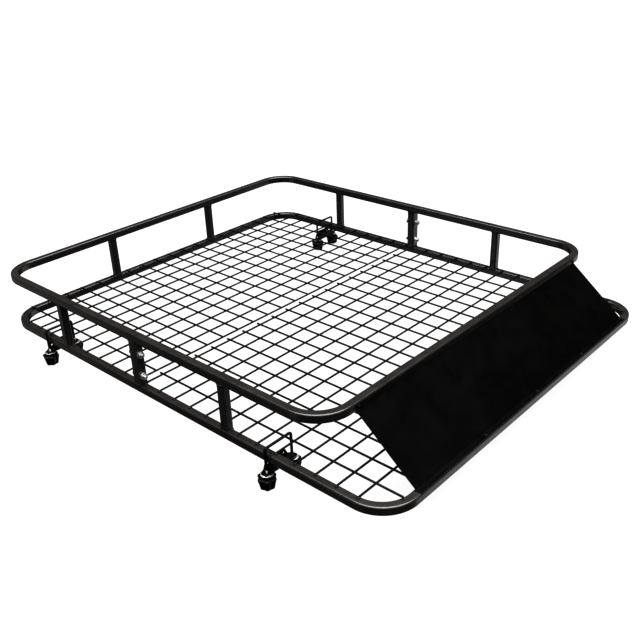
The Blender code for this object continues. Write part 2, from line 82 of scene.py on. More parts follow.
# Square tube
TUBE = rail_high.z - rail_low.z
TUBE_FILLET = 0.0036
FILLET_STEPS = 5
BEND_STEPS = 28
BEND_OUTER_RADIUS = 0.082
END_CHAMFER = 0.0004
BEAD_RADIUS = 0.0013
BEAD_RIPPLE = 0.0024
BEAD_SIDES = 8
BEAD_SMALLEST = 0.82
BEAD_SWELL = 0.36
PLATE_FILLET = 0.0008
PLATE_FILLET_STEPS = 3

# Wire floor
WIRE_RADIUS = 0.0023
WIRE_SIDES = 12
WELD_DEPTH = 0.0012
WIRE_SINK = 0.0004
PITCH = 0.050
LONG_WIRES_A_SIDE = 9
FRONT_CROSS_WIRES = 13
REAR_CROSS_WIRES = 10
STUB = 0.006
CAD_WIRE = 0.0032
WIRE_WANDER = 0.00035
CROSS_WIRE_INSET = 0.001
FAIRING_GAP = 0.0025
RAIL_WELD = (0.0036, 0.0044, 0.0021)
RAIL_WELD_INSET = 0.002
RAIL_WELD_DROP = 0.0004
CROSSING_WELD = (0.0027, 0.0027, 0.0016)
WELD_SMOOTH_DEGREES = 60

# Fairing and channels
SHEET = 0.0015
CHANNEL_SHEET = 0.0025
CHANNEL_TAPER_START = 0.024
CHANNEL_TAPER_END = 0.033
CHANNEL_END_HEIGHT = 0.0045
CHANNEL_TONGUE_START = 0.031
CHANNEL_TONGUE = 0.011
CHANNEL_BEND_OUTER = 0.0042
CHANNEL_BEND_INNER = 0.0017
CHANNEL_STRETCHES = 8
LEG_OFFSET = 0.035
LEG_HOLE_RADIUS = 0.0035
LEG_CUT = (-0.005, 0.008)
SIDE_HOLE_INSET = 0.022
SIDE_HOLE_RADIUS = 0.0025
SIDE_CUT = 0.03
FAIRING_LIP = 0.010
FAIRING_FOOT = 0.010
SHEET_BEND = 0.003
FAIRING_WAVE = 0.0005
FAIRING_ROWS = 16
FAIRING_COLUMNS = 60
SHEET_EDGE = 0.0003
STRUT = 0.012

# Fasteners
THREAD_PITCH = 0.001
THREAD_DEPTH = 0.0005
THREAD_SIDES = 14
THREAD_STEPS = 4
THREAD_LEAD_IN = 0.001
ROD_RADIUS = 0.0030
ROD_BEND = 0.0055
BARE_THREAD = 0.048
ROD_BEND_STEPS = 10
BOLT_RADIUS = 0.004
CLEARANCE = 0.0003
HEX_STEPS = 48
ROUND_STEPS = 40
SCREW_STEPS = 32
SCREW_HEAD_RADIUS = 0.0036
SCREW_HEAD = 0.0022
SCREW_SHANK = 0.002
SCREW_REACH = 0.0055
RECESS_LENGTH = 0.0036
RECESS_WIDTH = 0.0008
KNOB_LOBES = 6
KNOB_LOBE_DEPTH = 0.09
KNOB_STEPS = 96
KNOB_TOP = 0.0245
KNOB_TAPER = 0.77
KNOB_RIM = 0.0026
KNOB_FOOT = 0.0016
COLLAR_RADIUS = 0.0072
COLLAR_HOLE = 0.0031

# Stage and light
FLOOR_SIZE = 15.0
FLOOR_DROP = 0.0002
FLOOR_GLOW = 0.945
BASE_LIGHT = 0.012
DEEP_BLACKS = 0.80
# Soft lights round the basket: direction, half width in degrees, soft edge in degrees, brightness
STUDIO_LIGHTS = (
    ((0.08, -0.02, 0.99), 28, 12, 8.0),
    ((0.33, 0.82, -0.47), 12, 16, 0.9),
    ((-0.93, -0.25, -0.27), 8, 14, 0.34),
    ((-0.37, -0.85, -0.37), 6, 10, 0.45),
)

SMOOTH_DEGREES = 38
SQUARE = ((1, 1), (-1, 1), (-1, -1), (1, -1))
UP = Vector((0, 0, 1))
CORNERS = ("right_front", "right_rear", "left_front", "left_rear")
LEGS = ("outer", "inner")
chance = random.Random(12)


# Mesh helpers


class Shape:
    """Points and faces gathered for one mesh."""

    def __init__(self):
        self.points = []
        self.faces = []

    def loft(self, rings, closed=False):
        """Adds a skin over rings of equally many points, capped at both ends unless closed."""
        start, size, count = len(self.points), len(rings[0]), len(rings)
        for ring in rings:
            self.points.extend(ring)
        for i in range(count if closed else count - 1):
            a, b = start + i * size, start + (i + 1) % count * size
            for j in range(size):
                k = (j + 1) % size
                self.faces.append((a + j, a + k, b + k, b + j))
        if not closed:
            self.faces.append(tuple(range(start, start + size)))
            self.faces.append(tuple(range(start + (count - 1) * size, start + count * size)))

    def sweep(self, path, outline, chamfer=0.0):
        """Adds an outline swept along a path of (place, u, v) frames, with its ends softened."""
        rings = [[place + u * a + v * b for a, b in outline] for place, u, v in path]
        if chamfer:
            reach = max(abs(a) for a, b in outline)
            share = 1 - chamfer / reach
            ends = []
            for (place, u, v), (beyond, _, _) in ((path[0], path[1]), (path[-1], path[-2])):
                ends.append([place + (u * a + v * b) * share for a, b in outline])
                inward = (beyond - place).normalized() * chamfer
                index = 0 if len(ends) == 1 else -1
                rings[index] = [point + inward for point in rings[index]]
            rings = [ends[0]] + rings + [ends[1]]
        self.loft(rings)

    def rod(self, start, end, radius, sides=WIRE_SIDES, chamfer=0.0006):
        """Adds a straight round rod with softened ends."""
        along = (end - start).normalized()
        u = along.orthogonal().normalized()
        v = along.cross(u)
        self.sweep([(start, u, v), (end, u, v)], circle(radius, sides), chamfer)

    def blob(self, place, size, sides=10, levels=5):
        """Adds a rounded lump of this size, as weld metal makes."""
        rings = []
        for level in range(1, levels):
            angle = math.pi * level / levels
            spread, height = math.sin(angle), -math.cos(angle)
            rings.append([
                place + Vector((a * size[0] * spread, b * size[1] * spread, size[2] * height))
                for a, b in circle(1, sides)
            ])
        self.loft(rings)

    def mesh(self, name, smooth_degrees=SMOOTH_DEGREES):
        """The gathered mesh, with its faces pointing out."""
        made = bpy.data.meshes.new(name)
        made.from_pydata(self.points, [], self.faces)
        turn_faces_out(made)
        made.shade_smooth()
        made.set_sharp_from_angle(angle=math.radians(smooth_degrees))
        return made


def turn_faces_out(mesh):
    bm = bmesh.new()
    bm.from_mesh(mesh)
    bmesh.ops.recalc_face_normals(bm, faces=bm.faces)
    bm.to_mesh(mesh)
    bm.free()


def circle(radius, sides):
    return [
        (radius * math.cos(2 * math.pi * n / sides), radius * math.sin(2 * math.pi * n / sides))
        for n in range(sides)
    ]


def rounded_rectangle(width, height, radius, steps=FILLET_STEPS):
    """A rectangle's outline round the origin, with round corners."""
    x, y = width / 2 - radius, height / 2 - radius
    outline = []
    for corner, (cx, cy) in enumerate(((x, y), (-x, y), (-x, -y), (x, -y))):
        for step in range(steps + 1):
            angle = (corner + step / steps) * math.pi / 2
            outline.append((cx + radius * math.cos(angle), cy + radius * math.sin(angle)))
    return outline


def hexagon(angle):
    """The radius of a hexagon at this angle, as a share of half its width over flats."""
    third = math.pi / 3
    return 1 / math.cos(angle % third - third / 2)


def lobes(angle):
    return 1 + KNOB_LOBE_DEPTH * math.cos(KNOB_LOBES * angle)


def turned(profile, steps, flats=None, hole=False):
    """A shape turned about Z from (radius, z) points, kept inside a hexagon of this width over flats.

    With a hole the profile is a closed loop, and without one its ends are capped flat.
    """
    shape = Shape()
    angles = [2 * math.pi * n / steps for n in range(steps)]
    if hole:
        rings = [
            [Vector((r * math.cos(a), r * math.sin(a), z)) for r, z in profile] for a in angles
        ]
    else:
        rings = []
        for radius, z in profile:
            ring = []
            for angle in angles:
                r = min(radius, flats / 2 * hexagon(angle)) if flats else radius
                ring.append(Vector((r * math.cos(angle), r * math.sin(angle), z)))
            rings.append(ring)
    shape.loft(rings, closed=hole)
    return shape


def rounded_path(points, radius, steps=6):
    """These points in the XZ plane as a path whose inner corners are arcs."""
    path = [points[0]]
    for before, corner, after in zip(points, points[1:], points[2:]):
        back, on = (before - corner).normalized(), (after - corner).normalized()
        half = back.angle(on) / 2
        centre = corner + (back + on).normalized() * (radius / math.sin(half))
        spoke = corner + back * (radius / math.tan(half)) - centre
        turn = (math.pi - 2 * half) * math.copysign(1, back.cross(on).y)
        for step in range(steps + 1):
            path.append(centre + Matrix.Rotation(-turn * step / steps, 3, "Y") @ spoke)
    return path + [points[-1]]


def add_piece(name, mesh, material, body, nodes=(), location=(0, 0, 0), turn=None):
    """A visible piece that rides on a body and stands for these CAD nodes."""
    piece = bpy.data.objects.new(name, mesh)
    piece.location = location
    if turn:
        piece.rotation_euler = turn
    if not mesh.materials:
        mesh.materials.append(material)
    bpy.context.scene.collection.objects.link(piece)
    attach(piece, body)
    if nodes:
        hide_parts(*nodes)
    return piece


def flat_faces(piece):
    """Keeps wide faces flat in shading where small fillets join them."""
    weighted = piece.modifiers.new("flat_faces", "WEIGHTED_NORMAL")
    weighted.keep_sharp = True
    weighted.weight = 80


def cut_mesh(mesh, cutters):
    """This mesh with closed cutter shapes taken out of it."""
    piece = bpy.data.objects.new("cut", mesh)
    bpy.context.scene.collection.objects.link(piece)
    helpers = []
    for number, cutter in enumerate(cutters):
        helper = bpy.data.objects.new(f"cutter_{number}", cutter.mesh(f"cutter_{number}"))
        bpy.context.scene.collection.objects.link(helper)
        boolean = piece.modifiers.new(helper.name, "BOOLEAN")
        boolean.operation = "DIFFERENCE"
        boolean.solver = "EXACT"
        boolean.object = helper
        helpers.append(helper)
    bpy.context.view_layer.update()
    graph = bpy.context.evaluated_depsgraph_get()
    made = bpy.data.meshes.new_from_object(piece.evaluated_get(graph))
    made.name = mesh.name
    for helper in [piece, *helpers]:
        bpy.data.objects.remove(helper)
    made.shade_smooth()
    made.set_sharp_from_angle(angle=math.radians(SMOOTH_DEGREES))
    return made


def middle(node):
    low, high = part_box(node)
    return (low + high) / 2


# Materials


class Finish:
    """A procedural material and short ways to add its nodes."""

    def __init__(self, name, metallic=0.0, ior=1.5):
        self.material = bpy.data.materials.new(name)
        self.material.use_nodes = True
        self.tree = self.material.node_tree
        self.shader = self.tree.nodes["Principled BSDF"]
        self.shader.inputs["Metallic"].default_value = metallic
        self.shader.inputs["IOR"].default_value = ior
        self.coordinates = self.tree.nodes.new("ShaderNodeTexCoord").outputs["Object"]

    def link(self, output, socket):
        self.tree.links.new(output, socket)

    def noise(self, scale, detail=3.0, roughness=0.5, stretch=None):
        """Noise of this many cells a metre, as a 0 to 1 output."""
        node = self.tree.nodes.new("ShaderNodeTexNoise")
        node.inputs["Scale"].default_value = scale
        node.inputs["Detail"].default_value = detail
        node.inputs["Roughness"].default_value = roughness
        source = self.coordinates
        if stretch:
            mapping = self.tree.nodes.new("ShaderNodeMapping")
            mapping.inputs["Scale"].default_value = stretch
            self.link(source, mapping.inputs["Vector"])
            source = mapping.outputs["Vector"]
        self.link(source, node.inputs["Vector"])
        return node.outputs["Fac"]

    def between(self, value, low, high, low_result, high_result):
        """value mapped from low..high to the two results."""
        node = self.tree.nodes.new("ShaderNodeMapRange")
        node.interpolation_type = "SMOOTHSTEP"
        for socket, number in zip(("From Min", "From Max", "To Min", "To Max"),
                                  (low, high, low_result, high_result)):
            node.inputs[socket].default_value = number
        self.link(value, node.inputs["Value"])
        return node.outputs["Result"]

    def blend(self, factor, first, second):
        """A colour from first to second, each a colour or an output."""
        node = self.tree.nodes.new("ShaderNodeMix")
        node.data_type = "RGBA"
        self.link(factor, node.inputs["Factor"])
        for socket, colour in ((node.inputs[6], first), (node.inputs[7], second)):
            if isinstance(colour, tuple):
                socket.default_value = (*colour, 1)
            else:
                self.link(colour, socket)
        return node.outputs[2]

    def bump(self, height, strength, distance, under=None):
        node = self.tree.nodes.new("ShaderNodeBump")
        node.inputs["Strength"].default_value = strength
        node.inputs["Distance"].default_value = distance
        self.link(height, node.inputs["Height"])
        if under:
            self.link(under, node.inputs["Normal"])
        return node.outputs["Normal"]

    def set(self, **outputs):
        for socket, output in outputs.items():
            self.link(output, self.shader.inputs[socket.replace("_", " ")])
        return self.material


def powder_coat(name, deep, pale, roughness, peel, specular=0.5):
    """Powder coat: orange peel, soft mottling in colour and gloss, and sparse pale scuffs."""
    finish = Finish(name)
    finish.shader.inputs["Specular IOR Level"].default_value = specular
    mottle = finish.between(finish.noise(9, 4), 0.35, 0.68, 0, 1)
    scuff = finish.between(finish.noise(140, 6, 0.7, (1, 1, 0.35)), 0.66, 0.78, 0, 1)
    body = finish.blend(mottle, deep, pale)
    worn = tuple(min(1.0, channel * 2.6) for channel in pale)
    colour = finish.blend(scuff, body, worn)
    gloss = finish.between(finish.noise(26, 5, 0.6), 0.3, 0.7, *roughness)
    orange_peel = finish.bump(finish.noise(620, 2), peel, 0.0004)
    speckle = finish.bump(finish.noise(2600, 1), peel * 0.4, 0.0001, orange_peel)
    return finish.set(Base_Color=colour, Roughness=gloss, Normal=speckle)


def zinc_plate(name, smooth, rough):
    """Bright zinc: cool metal with a faint straw tint in patches, fine drawing lines and stains."""
    finish = Finish(name, metallic=1.0)
    tint = finish.between(finish.noise(160, 3), 0.4, 0.65, 0, 1)
    metal = finish.blend(tint, (0.78, 0.80, 0.82), (0.74, 0.71, 0.62))
    stain = finish.between(finish.noise(420, 5, 0.65), 0.60, 0.75, 0, 1)
    colour = finish.blend(stain, metal, (0.42, 0.40, 0.37))
    gloss = finish.between(finish.noise(300, 4), 0.3, 0.7, smooth, rough)
    lines = finish.bump(finish.noise(1500, 2, 0.5, (1, 1, 0.12)), 0.25, 0.0001)
    return finish.set(Base_Color=colour, Roughness=gloss, Normal=lines)


def moulded_plastic(name):
    """Black moulded plastic with a fine spark-eroded grain."""
    finish = Finish(name, ior=1.46)
    finish.shader.inputs["Specular IOR Level"].default_value = 0.3
    mottle = finish.between(finish.noise(70, 3), 0.35, 0.65, 0, 1)
    colour = finish.blend(mottle, (0.0024, 0.0024, 0.0026), (0.0042, 0.0042, 0.0044))
    gloss = finish.between(finish.noise(180, 4), 0.3, 0.7, 0.36, 0.52)
    grain = finish.bump(finish.noise(2400, 3, 0.7), 0.35, 0.0002)
    return finish.set(Base_Color=colour, Roughness=gloss, Normal=grain)


TUBE_COAT = powder_coat(
    "black_tube_coat", (0.0185, 0.0160, 0.0148), (0.0245, 0.0212, 0.0196), (0.24, 0.33), 0.07, 1.0
)
WIRE_COAT = powder_coat(
    "black_wire_coat", (0.0020, 0.0019, 0.0018), (0.0042, 0.0038, 0.0036), (0.36, 0.46), 0.08, 0.20
)
SHEET_COAT = powder_coat(
    "black_sheet_coat", (0.0010, 0.0009, 0.0008), (0.0022, 0.0019, 0.0018), (0.26, 0.36), 0.06, 0.14
)
WELD_COAT = powder_coat(
    "coated_weld", (0.0070, 0.0062, 0.0058), (0.0120, 0.0106, 0.0098), (0.34, 0.46), 0.20, 0.35
)
ROD_COAT = powder_coat(
    "black_rod_coat", (0.0022, 0.0020, 0.0020), (0.0048, 0.0044, 0.0042), (0.34, 0.46), 0.08, 0.20
)
PLASTIC = moulded_plastic("black_knob_plastic")
ZINC = zinc_plate("bright_zinc", 0.34, 0.52)


# Square tube frame


def half_loop(end_x, seam_x, half_width, height):
    """A U-shaped half rail's centre line as (place, across, up) frames, from the seam and back."""
    toward = 1 if end_x > seam_x else -1
    radius = BEND_OUTER_RADIUS - TUBE / 2
    centre_x, centre_y = end_x - toward * radius, half_width - radius
    frames = [(Vector((seam_x, -half_width, height)), Vector((0, -1, 0)))]
    for side in (-1, 1):
        for step in range(BEND_STEPS + 1):
            share = step if side < 0 else BEND_STEPS - step
            angle = share / BEND_STEPS * math.pi / 2
            out = Vector((toward * math.sin(angle), side * math.cos(angle), 0))
            frames.append((Vector((centre_x, side * centre_y, height)) + out * radius, out))
    frames.append((Vector((seam_x, half_width, height)), Vector((0, 1, 0))))
    return [(place, out, UP) for place, out in frames]


def build_rails():
    outline = rounded_rectangle(TUBE, TUBE, TUBE_FILLET)
    for node in ("lower_rail_front", "lower_rail_rear", "top_rail_front", "top_rail_rear"):
        low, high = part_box(node)
        ends = (high.x - TUBE / 2, low.x) if node.endswith("front") else (low.x + TUBE / 2, high.x)
        path = half_loop(*ends, high.y - TUBE / 2, (low.z + high.z) / 2)
        shape = Shape()
        shape.sweep(path, outline, END_CHAMFER)
        rail = add_piece(f"{node}_tube", shape.mesh(node), TUBE_COAT, "frame", [node])
        flat_faces(rail)


def straight_tube(start, end, u, v, side):
    shape = Shape()
    shape.sweep([(start, u, v), (end, u, v)], rounded_rectangle(side, side, TUBE_FILLET), END_CHAMFER)
    return shape


def add_bead(shape, outline, place, u, v):
    """A rippled weld bead that follows this closed outline in the plane of u and v."""
    corners = [place + u * a + v * b for a, b in outline]
    loop = []
    for start, end in zip(corners, corners[1:] + corners[:1]):
        pieces = max(1, round((end - start).length / (BEAD_RIPPLE / 4)))
        loop += [start.lerp(end, n / pieces) for n in range(pieces)]
    normal = u.cross(v)
    rings, run = [], 0.0
    for n, point in enumerate(loop):
        along = (loop[(n + 1) % len(loop)] - loop[n - 1]).normalized()
        out = along.cross(normal)
        swell = BEAD_RADIUS * (BEAD_SMALLEST + BEAD_SWELL * abs(math.sin(math.pi * run / BEAD_RIPPLE)))
        rings.append([point + out * a + normal * b for a, b in circle(swell, BEAD_SIDES)])
        run += (loop[(n + 1) % len(loop)] - point).length
    shape.loft(rings, closed=True)


def build_posts():
    """The upright tubes, and the weld beads round their feet and heads."""
    outline = rounded_rectangle(TUBE, TUBE, TUBE_FILLET)
    x, y = Vector((1, 0, 0)), Vector((0, 1, 0))
    beads = {"front": Shape(), "rear": Shape()}
    posts = [f"side_post_{side}_{end}" for side in ("right", "left") for end in ("rear", "front")]
    posts += ["rear_post_right", "rear_post_left", "joint_post_right", "joint_post_left"]
    for node in posts:
        low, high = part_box(node)
        foot, head = middle(node), middle(node)
        foot.z, head.z = low.z, high.z
        post = straight_tube(foot, head, x, y, TUBE)
        piece = add_piece(f"{node}_tube", post.mesh(node), TUBE_COAT, "frame", [node])
        flat_faces(piece)
        half = "front" if node.startswith("side_post") and node.endswith("front") else "rear"
        for end in (foot, head):
            add_bead(beads[half], outline, end, x, y)
    for side in ("right", "left"):
        node = f"joint_plate_{side}"
        low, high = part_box(node)
        size = high - low
        foot, head = middle(node), middle(node)
        foot.z, head.z = low.z, high.z
        plate_outline = rounded_rectangle(size.x, size.y, PLATE_FILLET, PLATE_FILLET_STEPS)
        shape = Shape()
        shape.sweep([(foot, x, y), (head, x, y)], plate_outline, END_CHAMFER)
        plate = add_piece(node + "_flat", shape.mesh(node), TUBE_COAT, "frame", [node])
        flat_faces(plate)
        for end in (foot, head):
            add_bead(beads["front"], plate_outline, end, x, y)
    for half, shape in beads.items():
        add_piece(f"post_weld_beads_{half}", shape.mesh(f"beads_{half}"), WELD_COAT, "frame")


# Wire floor


def wander(amount=WIRE_WANDER):
    return chance.uniform(-amount, amount)


def build_floor_panel(half):
    """Lengthwise wires laid over cross wires, welded at each crossing and to the rails."""
    node = f"mesh_panel_{half}"
    low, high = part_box(node)
    rail_top = rail_high.z
    cross_z = rail_top + WIRE_RADIUS - WIRE_SINK
    long_z = cross_z + 2 * WIRE_RADIUS - WELD_DEPTH
    if half == "front":
        crosses = [low.x + STUB + n * PITCH for n in range(FRONT_CROSS_WIRES)]
    else:
        crosses = [high.x - CAD_WIRE / 2 - n * PITCH for n in range(REAR_CROSS_WIRES)]
    rail_y = rail_high.y - TUBE / 2
    post_face = rail_y - TUBE / 2 - WIRE_RADIUS / 2
    fairing_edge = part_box("fairing")[1].y
    wires, welds = Shape(), Shape()
    for x in crosses:
        place_x = x + wander()
        reach = post_face if x == crosses[0] else rail_y - CROSS_WIRE_INSET
        start, end = Vector((place_x, -reach, cross_z)), Vector((place_x + wander(), reach, cross_z))
        wires.rod(start, end, WIRE_RADIUS)
        for tip in (start, end):
            inward = math.copysign(RAIL_WELD_INSET, -tip.y)
            welds.blob(tip + Vector((0, inward, -RAIL_WELD_DROP)), RAIL_WELD)
    for number in range(-LONG_WIRES_A_SIDE, LONG_WIRES_A_SIDE + 1):
        y = number * PITCH
        if half == "front":
            start_x = low.x
            end_x = high.x if abs(y) > fairing_edge else rail_high.x - TUBE - FAIRING_GAP
        else:
            start_x, end_x = low.x + TUBE / 3, high.x
        start = Vector((start_x, y + wander(), long_z))
        end = Vector((end_x, y + wander(), long_z))
        wires.rod(start, end, WIRE_RADIUS)
        for x in crosses:
            share = (x - start.x) / (end.x - start.x)
            crossing = start.lerp(end, share) - UP * (WIRE_RADIUS - WELD_DEPTH / 2)
            welds.blob(crossing, CROSSING_WELD, 8, 4)
    add_piece(f"floor_wires_{half}", wires.mesh(node), WIRE_COAT, "frame", [node])
    nuggets = welds.mesh(node + "_welds", WELD_SMOOTH_DEGREES)
    add_piece(f"floor_welds_{half}", nuggets, WELD_COAT, "frame")


# Fairing


def fairing_path():
    """The sheet's outer face, as (x, 0, z) points from its top lip to its foot."""
    low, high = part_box("fairing")
    lip_x, foot_z = low.x + SHEET, low.z + SHEET
    lip = [(lip_x, high.z), (lip_x, high.z - FAIRING_LIP)]
    corners = lip + [(high.x - FAIRING_FOOT, foot_z), (high.x, foot_z)]
    return [Vector((x, 0, z)) for x, z in corners]


def build_fairing():
    """The sloping sheet: softly bent at its lip and foot, and not quite flat between them."""
    low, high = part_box("fairing")
    corners = fairing_path()
    path = rounded_path(corners, SHEET_BEND)
    arc = len(path) // 2
    slope_start, slope_end = path[arc - 1], path[arc]
    slope = [slope_start.lerp(slope_end, n / FAIRING_ROWS) for n in range(1, FAIRING_ROWS)]
    rows = path[:arc] + slope + path[arc:]
    inward = (slope_end - slope_start).cross(Vector((0, 1, 0))).normalized()
    points, faces = [], []
    for row, place in enumerate(rows):
        share = min(1.0, max(0.0, (place - slope_start).dot(slope_end - slope_start)
                             / (slope_end - slope_start).length_squared))
        for column in range(FAIRING_COLUMNS + 1):
            y = low.y + (high.y - low.y) * column / FAIRING_COLUMNS
            wave = math.sin(7.0 * y + 0.6) + 0.6 * math.sin(13.0 * y + 4.0 * share)
            dent = inward * FAIRING_WAVE * wave * math.sin(math.pi * share)
            points.append(place + Vector((0, y, 0)) + dent)
    for row in range(len(rows) - 1):
        for column in range(FAIRING_COLUMNS):
            a = row * (FAIRING_COLUMNS + 1) + column
            b = a + FAIRING_COLUMNS + 1
            faces.append((a, a + 1, b + 1, b))
    mesh = bpy.data.meshes.new("fairing_sheet")
    mesh.from_pydata(points, [], faces)
    if mesh.polygons[0].normal.x < 0:
        mesh.flip_normals()
    mesh.shade_smooth()
    sheet = add_piece("fairing_sheet", mesh, SHEET_COAT, "frame", ["fairing"])
    thicken = sheet.modifiers.new("sheet", "SOLIDIFY")
    thicken.thickness = SHEET
    thicken.offset = -1
    thicken.use_even_offset = True
    thicken.use_rim = True
    soften = sheet.modifiers.new("soft_edges", "BEVEL")
    soften.width = SHEET_EDGE
    soften.segments = 2
    soften.limit_method = "ANGLE"
    soften.angle_limit = math.radians(60)
    flat_faces(sheet)

    along = (slope_end - slope_start).normalized()
    for side in ("right", "left"):
        node = f"fairing_strut_{side}"
        low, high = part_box(node)
        thick = STRUT * abs(along.z)
        tall = STRUT * abs(along.x)
        start = Vector((low.x + thick / 2, (low.y + high.y) / 2, high.z - tall / 2))
        end = Vector((high.x - thick / 2, (low.y + high.y) / 2, low.z + tall / 2))
        strut = straight_tube(start, end, Vector((0, 1, 0)), along.cross(Vector((0, 1, 0))), STRUT)
        piece = add_piece(f"{node}_tube", strut.mesh(node), TUBE_COAT, "frame", [node])
        flat_faces(piece)


# Fasteners


def hex_profile(height, flats, chamfered_ends):
    """(radius, z) points of a hexagon's turned chamfers, from z = 0 up to its height."""
    inner, outer = flats / 2 * 0.96, flats / 2 * 1.16
    profile = []
    if 0 in chamfered_ends:
        profile += [(inner, 0), (flats / 2 * 1.07, 0.0004), (outer, 0.0010)]
    else:
        profile += [(outer, 0)]
    if 1 in chamfered_ends:
        profile += [(outer, height - 0.0010), (flats / 2 * 1.07, height - 0.0004), (inner, height)]
    else:
        profile += [(outer, height)]
    return profile


def add_thread(shape, radius, low, high, place=Vector((0, 0, 0))):
    """A helical thread along Z between two heights, closed at both ends."""
    count = max(2, round((high - low) / THREAD_PITCH * THREAD_STEPS))
    rings = []
    for n in range(count + 1):
        z = low + (high - low) * n / count
        ring = []
        for side in range(THREAD_SIDES):
            turn = side / THREAD_SIDES
            phase = ((z / THREAD_PITCH) - turn) % 1.0
            ridge = 1 - abs(2 * phase - 1)
            taper = min(1.0, (z - low) / THREAD_LEAD_IN)
            r = radius - THREAD_DEPTH * (1 - ridge * taper)
            angle = 2 * math.pi * turn
            ring.append(place + Vector((r * math.cos(angle), r * math.sin(angle), z)))
        rings.append(ring)
    shape.loft(rings)


def build_joint_fasteners():
    """Hexagon bolts through the joint posts, each with a washer and a nut on the front side."""
    for side in ("right", "left"):
        for level in ("lower", "upper"):
            tag = f"{side}_{level}"
            head_low, tip_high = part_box(f"joint_bolt_{tag}")
            nut_low, nut_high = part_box(f"joint_nut_{tag}")
            washer_low, washer_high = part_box(f"joint_washer_{tag}")
            y, z = middle(f"joint_nut_{tag}").y, middle(f"joint_nut_{tag}").z
            flats = min(nut_high.y - nut_low.y, nut_high.z - nut_low.z)
            post_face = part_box(f"joint_post_{side}")[0].x
            head = post_face - head_low.x
            turn = (0, math.pi / 2, 0)

            length = tip_high.x - head_low.x
            bolt = turned(hex_profile(head, flats, (0,)), HEX_STEPS, flats)
            shank_end = nut_low.x - head_low.x
            bolt.rod(Vector((0, 0, head / 2)), Vector((0, 0, shank_end)), BOLT_RADIUS, 24, 0.0)
            add_thread(bolt, BOLT_RADIUS, shank_end, length - 0.0006)
            bolt.rod(Vector((0, 0, shank_end)), Vector((0, 0, length)), BOLT_RADIUS - THREAD_DEPTH, 24)
            add_piece(f"joint_bolt_{tag}_hex", bolt.mesh("bolt"), ZINC, "frame",
                      [f"joint_bolt_{tag}"], (head_low.x, y, z), turn)

            nut_height = nut_high.x - nut_low.x
            nut = turned(hex_profile(nut_height, flats, (0, 1)), HEX_STEPS, flats)
            add_piece(f"joint_nut_{tag}_hex", nut.mesh("nut"), ZINC, "frame",
                      [f"joint_nut_{tag}"], (nut_low.x, y, z), turn)

            thick = washer_high.x - washer_low.x
            radius = (washer_high.y - washer_low.y) / 2
            add_piece(f"joint_washer_{tag}_disc", washer(radius, BOLT_RADIUS + CLEARANCE, thick), ZINC,
                      "frame", [f"joint_washer_{tag}"], (washer_low.x, y, z), turn)


def washer(radius, hole, thick):
    """A stamped washer whose edges are rounded on one side."""
    soft = thick * 0.3
    profile = [
        (hole, 0), (radius - soft * 0.4, 0), (radius, soft * 0.6), (radius, thick - soft),
        (radius - soft * 0.3, thick - soft * 0.3), (radius - soft, thick), (hole + soft * 0.5, thick),
        (hole, thick - soft * 0.5),
    ]
    return turned(profile, ROUND_STEPS, hole=True).mesh("washer")


def build_fairing_screws():
    """Pan-head screws with a cross recess in the fairing's foot and at its top corners."""
    places = ("foot_right", "foot_middle", "foot_left", "corner_right", "corner_left")
    radius, head = SCREW_HEAD_RADIUS, SCREW_HEAD
    profile = [(SCREW_SHANK, -SCREW_REACH), (SCREW_SHANK, 0), (radius, 0), (radius, head * 0.35)]
    for step in range(1, 6):
        angle = step / 6 * math.pi / 2
        profile.append((radius * math.cos(angle), head * (0.35 + 0.65 * math.sin(angle))))
    profile.append((radius * 0.12, head))
    screw = turned(profile, SCREW_STEPS).mesh("fairing_screw")
    arms = []
    for length, width in ((RECESS_LENGTH, RECESS_WIDTH), (RECESS_WIDTH, RECESS_LENGTH)):
        arm = Shape()
        deep = [Vector((a * length * 0.25, b * width * 0.25, head * 0.3)) for a, b in SQUARE]
        wide = [Vector((a * length * 0.5, b * width * 0.5, head * 1.2)) for a, b in SQUARE]
        arm.loft([deep, wide])
        arms.append(arm)
    screw = cut_mesh(screw, arms)
    for tag in places:
        low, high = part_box(f"fairing_screw_{tag}")
        centre = (low + high) / 2
        if tag.startswith("foot"):
            place, turn = (centre.x, centre.y, high.z - head), (0, 0, 0.5 + centre.y)
        else:
            place, turn = (high.x - head, centre.y, centre.z), (0.4 + centre.y, math.pi / 2, 0)
        add_piece(f"fairing_screw_{tag}_pan", screw, ROD_COAT, "frame",
                  [f"fairing_screw_{tag}"], place, turn)


# Clamps


def u_bolt_pieces(node):
    """The coated rod over the rail and the bare rolled threads on its two legs."""
    low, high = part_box(node)
    x = (low.x + high.x) / 2
    bar_z = high.z - ROD_RADIUS
    half = (high.y - low.y) / 2 - ROD_RADIUS
    centre_y = (low.y + high.y) / 2
    thread_top = bar_z - BARE_THREAD
    bend = []
    for step in range(ROD_BEND_STEPS + 1):
        angle = step / ROD_BEND_STEPS * math.pi / 2
        place_y = half - ROD_BEND + ROD_BEND * math.sin(angle)
        place_z = bar_z - ROD_BEND + ROD_BEND * math.cos(angle)
        bend.append((Vector((x, place_y, place_z)), Vector((0, math.sin(angle), math.cos(angle)))))
    one_leg = bend + [(Vector((x, half, thread_top)), Vector((0, 1, 0)))]
    other = [(Vector((x, -p.y, p.z)), Vector((0, -out.y, out.z))) for p, out in reversed(one_leg)]
    shift = Vector((0, centre_y, 0))
    path = [(place + shift, Vector((1, 0, 0)), out) for place, out in other + one_leg]
    rod = Shape()
    rod.sweep(path, circle(ROD_RADIUS, 16), 0.0003)
    threads = Shape()
    for sign in (-1, 1):
        place = Vector((x, centre_y + sign * half, 0))
        add_thread(threads, ROD_RADIUS, low.z, thread_top + 0.0004, place)
        threads.rod(place + UP * low.z, place + UP * (thread_top + 0.001), ROD_RADIUS - THREAD_DEPTH * 0.8)
    return rod, threads


